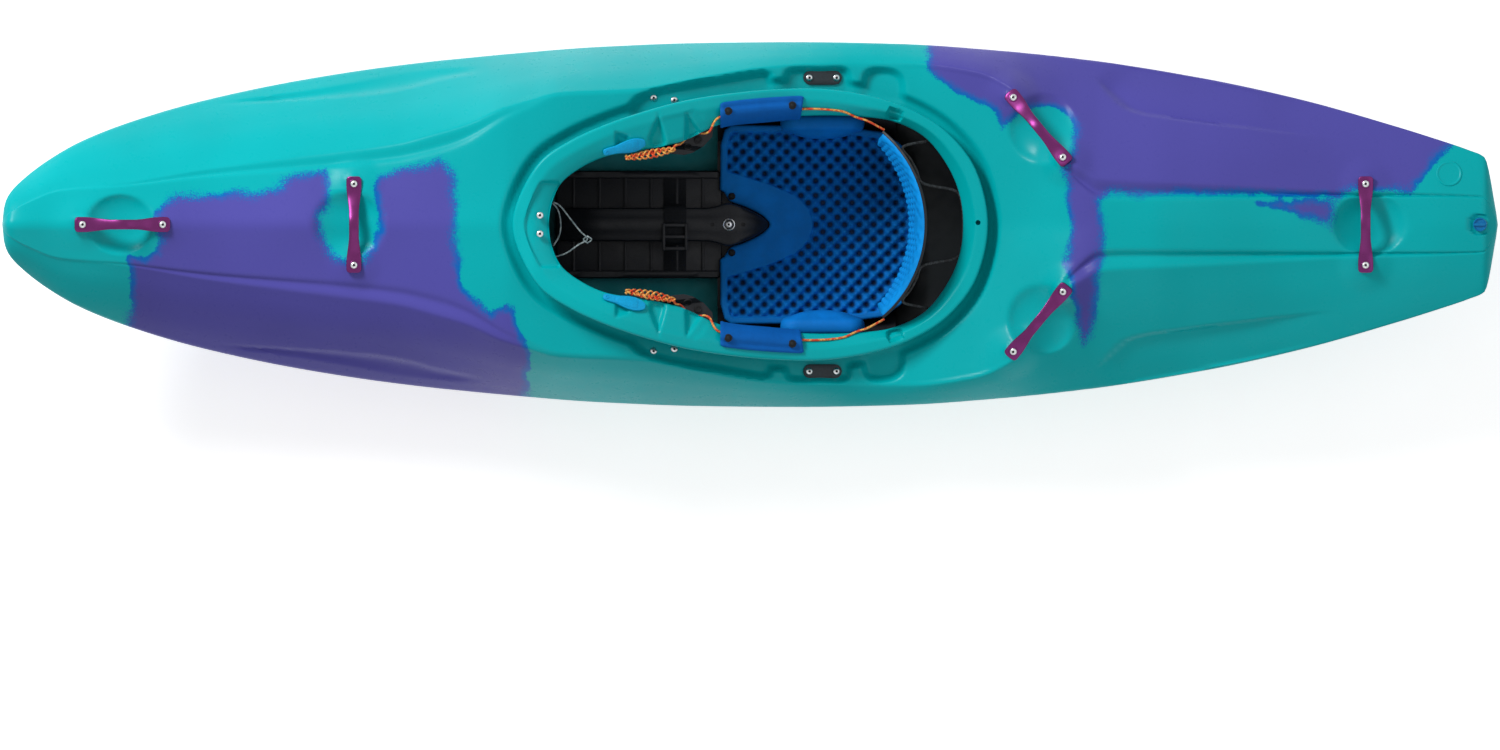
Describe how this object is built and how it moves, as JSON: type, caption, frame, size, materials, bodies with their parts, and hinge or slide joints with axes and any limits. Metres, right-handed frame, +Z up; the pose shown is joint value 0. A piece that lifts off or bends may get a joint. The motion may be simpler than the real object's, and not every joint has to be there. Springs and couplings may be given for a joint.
{
  "type": "whitewater kayak",
  "caption": "Moulded whitewater kayak with a high rockered bow, cockpit rim, grab handles, and a fitted seat, footrest, braces and backband.",
  "frame": {"origin": "centre of the overall box, on the plane that the hull lies on", "axes": "-X towards the bow, +X towards the stern, +Y to starboard, +Z up"},
  "size_m": [2.67, 0.653, 0.444],
  "materials": {
    "shell": "satin, teal blending into purple",
    "handle": "anodised magenta",
    "screw": "stainless",
    "seal": "matt",
    "plug": "satin",
    "outfit": "satin black",
    "foam": "closed-cell foam",
    "cover": "coated fabric",
    "webbing": "woven",
    "footrest": "brushed",
    "dark_foam": "closed-cell foam",
    "tab": "moulded",
    "cord": "braided",
    "shock": "braided"
  },
  "bodies": {
    "boat": {"hull_shell": "shell", "handle_bow": "handle", "handle_front": "handle", "handle_rear_starboard": "handle", "handle_rear_port": "handle", "handle_stern": "handle", "handle_screw_bow_1": "screw", "handle_screw_bow_2": "screw", "handle_screw_front_1": "screw", "handle_screw_front_2": "screw", "handle_screw_rear_starboard_1": "screw", "handle_screw_rear_starboard_2": "screw", "handle_screw_rear_port_1": "screw", "handle_screw_rear_port_2": "screw", "handle_screw_stern_1": "screw", "handle_screw_stern_2": "screw", "seat_pad_screw_1": "screw", "seat_pad_screw_2": "screw", "leg_beam_screw": "screw", "seat_plate_screw_starboard_1": "screw", "seat_plate_screw_starboard_2": "screw", "thigh_screw_starboard_1": "screw", "thigh_screw_starboard_2": "screw", "rim_screw_starboard": "screw", "rail_bolt_starboard_1": "screw", "rail_bolt_starboard_2": "screw", "seat_plate_screw_port_1": "screw", "seat_plate_screw_port_2": "screw", "thigh_screw_port_1": "screw", "thigh_screw_port_2": "screw", "rim_screw_port": "screw", "rail_bolt_port_1": "screw", "rail_bolt_port_2": "screw", "seat_pan": "outfit", "leg_beam": "outfit", "seat_pad": "foam", "leg_strap": "webbing", "bow_pillar": "dark_foam", "stern_pillar": "dark_foam", "shock_cord": "shock", "hip_pad_starboard": "foam", "seat_plate_starboard": "outfit", "footrest_rail_starboard": "outfit", "hip_cover_starboard": "cover", "pull_tab_starboard": "tab", "tension_cord_starboard": "cord", "hip_pad_port": "foam", "seat_plate_port": "outfit", "footrest_rail_port": "outfit", "hip_cover_port": "cover", "pull_tab_port": "tab", "tension_cord_port": "cord"},
    "footrest": {"footrest_plate": "footrest", "footrest_foam": "dark_foam"},
    "brace_starboard": {"thigh_brace_starboard": "outfit"},
    "brace_port": {"thigh_brace_port": "outfit"},
    "backband": {"backband_shell": "outfit", "backband_pad": "foam"},
    "plug_lift": {"drain_plug_seal": "seal"},
    "plug": {"drain_plug": "plug"}
  },
  "joints": [
    {"name": "footrest_slide", "type": "slide", "parent": "boat", "child": "footrest", "axis": [1, 0, 0], "range_m": [-0.06, 0.1]},
    {"name": "brace_slide_starboard", "type": "slide", "parent": "boat", "child": "brace_starboard", "axis": [0.9717, -0.1023, -0.2129], "range_m": [-0.006, 0.012]},
    {"name": "brace_slide_port", "type": "slide", "parent": "boat", "child": "brace_port", "axis": [0.9717, 0.1023, -0.2129], "range_m": [-0.006, 0.012]},
    {"name": "backband_tilt", "type": "hinge", "parent": "boat", "child": "backband", "pos_m": [0.236, 0, 0.205], "axis": [0, 1, 0], "range_deg": [-40, 0]},
    {"name": "plug_lift", "type": "slide", "parent": "boat", "child": "plug_lift", "axis": [0, 0, 1], "range_m": [0, 0.012]},
    {"name": "plug_turn", "type": "hinge", "parent": "plug_lift", "child": "plug", "pos_m": [1.303, 0, 0.307], "axis": [0, 0, 1], "range_deg": [0, 1080]}
  ],
  "couplings": [
    {"joint": "plug_lift", "follows": "plug_turn", "m_per_rad": 0.00063662}
  ]
}
